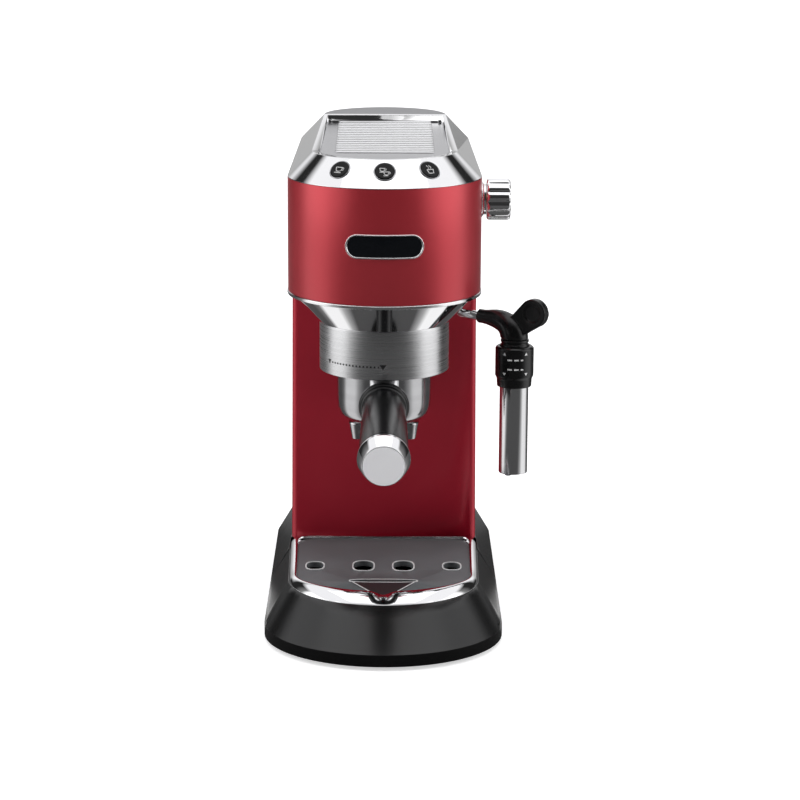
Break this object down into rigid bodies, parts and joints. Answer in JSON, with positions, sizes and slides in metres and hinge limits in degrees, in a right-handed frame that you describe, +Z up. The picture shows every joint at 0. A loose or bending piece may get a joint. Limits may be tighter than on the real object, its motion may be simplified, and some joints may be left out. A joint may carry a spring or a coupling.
{
  "type": "espresso machine",
  "caption": "Slim pump espresso machine with a bayonet filter holder, a swivelling steam wand, a pull-out drip tray and a lift-out water tank behind its red body.",
  "frame": {"origin": "on the worktop, under the middle of the base's width and depth", "axes": "+Z up, -Y towards the user, +X to the user's right"},
  "size_m": [0.1796, 0.33, 0.3042],
  "materials": {
    "black_base": "satin",
    "black_grip": "satin",
    "black_button": "gloss",
    "black_rubber": "matte",
    "red_head": "satin metallic",
    "red_column": "satin",
    "chrome_trim": "polished",
    "chrome_cap": "polished",
    "brushed_collar": "brushed around",
    "steel_sheet": "satin",
    "steel_wire": "satin",
    "plate_steel": "satin",
    "badge_enamel": "gloss",
    "satin_disc": "satin",
    "cast_aluminium": "cast",
    "brass_parts": "machined",
    "silicone": "matte",
    "hose": "matte",
    "tank_clear": "clear",
    "lid_grey": "satin",
    "inner_plastic": "moulded",
    "white_plastic": "moulded",
    "float_red": "moulded",
    "circuit_board": "coated"
  },
  "bodies": {
    "root": {"base_housing": "black_base", "tank_cradle": "black_base", "base_plate": "inner_plastic", "rubber_feet": "black_rubber", "base_screws": "steel_wire", "column_panel": "red_column", "chassis": "inner_plastic", "rear_panel": "inner_plastic", "head_shell": "red_head", "head_rim": "chrome_trim", "head_floor": "inner_plastic", "group_funnel": "chrome_trim", "badge_border": "chrome_trim", "badge_plate": "badge_enamel", "top_cap": "chrome_cap", "cup_warmer_plate": "steel_sheet", "button_bezels": "chrome_trim", "control_board": "circuit_board", "knob_collar": "chrome_trim", "steam_valve": "brass_parts", "group_collar": "brushed_collar", "group_head": "cast_aluminium", "group_gasket": "silicone", "shower_screen": "steel_sheet", "shower_screw": "steel_wire", "thermoblock": "cast_aluminium", "wand_socket": "inner_plastic", "tank_coupler": "inner_plastic", "pump": "inner_plastic", "flow_meter": "white_plastic", "suction_hose": "hose", "pressure_hose": "hose", "power_board": "circuit_board", "switch_frame": "inner_plastic", "cord_gland": "inner_plastic"},
    "drip_tray": {"drip_tray_bowl": "black_base", "drip_tray_rim": "chrome_trim"},
    "grid": {"drip_grid": "plate_steel"},
    "tray_float": {"level_float": "float_red"},
    "one_cup_button": {"button_one_cup": "black_button"},
    "two_cups_button": {"button_two_cups": "black_button"},
    "steam_button": {"button_steam": "black_button"},
    "knob": {"steam_knob": "chrome_trim", "steam_spindle": "brass_parts"},
    "portafilter": {"portafilter_bowl": "chrome_trim", "filter_basket": "steel_sheet", "basket_spring": "steel_wire", "double_spout": "chrome_trim", "portafilter_handle": "black_grip", "handle_end_ring": "chrome_trim", "handle_end_disc": "satin_disc"},
    "wand": {"steam_pipe": "chrome_trim", "wand_grip": "black_grip", "froth_tube": "steel_sheet", "steam_nozzle": "black_grip"},
    "selector": {"froth_selector": "black_grip"},
    "tank": {"tank_shell": "tank_clear"},
    "valve": {"tank_valve": "white_plastic"},
    "lid": {"tank_lid": "lid_grey"},
    "rocker": {"switch_rocker": "black_button"}
  },
  "joints": [
    {"name": "drip_tray_slide", "type": "slide", "parent": "root", "child": "drip_tray", "axis": [0, -1, 0], "range_m": [0, 0.19]},
    {"name": "drip_grid_lift", "type": "slide", "parent": "drip_tray", "child": "grid", "axis": [0, 0, 1], "range_m": [0, 0.06]},
    {"name": "tray_float_rise", "type": "slide", "parent": "drip_tray", "child": "tray_float", "axis": [0, 0, 1], "range_m": [0, 0.006]},
    {"name": "portafilter_turn", "type": "hinge", "parent": "root", "child": "portafilter", "pos_m": [0, -0.0307, 0.15], "axis": [0, 0, 1], "range_deg": [-60, 0]},
    {"name": "steam_knob_turn", "type": "hinge", "parent": "root", "child": "knob", "pos_m": [0.067, 0.011, 0.2606], "axis": [1, 0, 0], "range_deg": [0, 270]},
    {"name": "steam_wand_swivel", "type": "hinge", "parent": "root", "child": "wand", "pos_m": [0.047, 0.004, 0.199], "axis": [0, 0, 1], "range_deg": [-30, 45]},
    {"name": "froth_selector_slide", "type": "slide", "parent": "wand", "child": "selector", "axis": [0, 0, -1], "range_m": [0, 0.004]},
    {"name": "tank_lift", "type": "slide", "parent": "root", "child": "tank", "axis": [0, 0, 1], "range_m": [0, 0.28]},
    {"name": "tank_valve_lift", "type": "slide", "parent": "tank", "child": "valve", "axis": [0, 0, 1], "range_m": [0, 0.003]},
    {"name": "tank_lid_hinge", "type": "hinge", "parent": "tank", "child": "lid", "pos_m": [0, 0.113, 0.3004], "axis": [1, 0, 0], "range_deg": [0, 80]},
    {"name": "power_switch_rock", "type": "hinge", "parent": "root", "child": "rocker", "pos_m": [0.05171, 0.09, 0.062], "axis": [0, 1, 0], "range_deg": [-8, 8]},
    {"name": "one_cup_button_press", "type": "slide", "parent": "root", "child": "one_cup_button", "axis": [0.3806, 0.6091, -0.6958], "range_m": [0, 0.0012], "stiffness_N_per_m": 800},
    {"name": "two_cups_button_press", "type": "slide", "parent": "root", "child": "two_cups_button", "axis": [0, 0.7182, -0.6958], "range_m": [0, 0.0012], "stiffness_N_per_m": 800},
    {"name": "steam_button_press", "type": "slide", "parent": "root", "child": "steam_button", "axis": [-0.3806, 0.6091, -0.6958], "range_m": [0, 0.0012], "stiffness_N_per_m": 800}
  ]
}
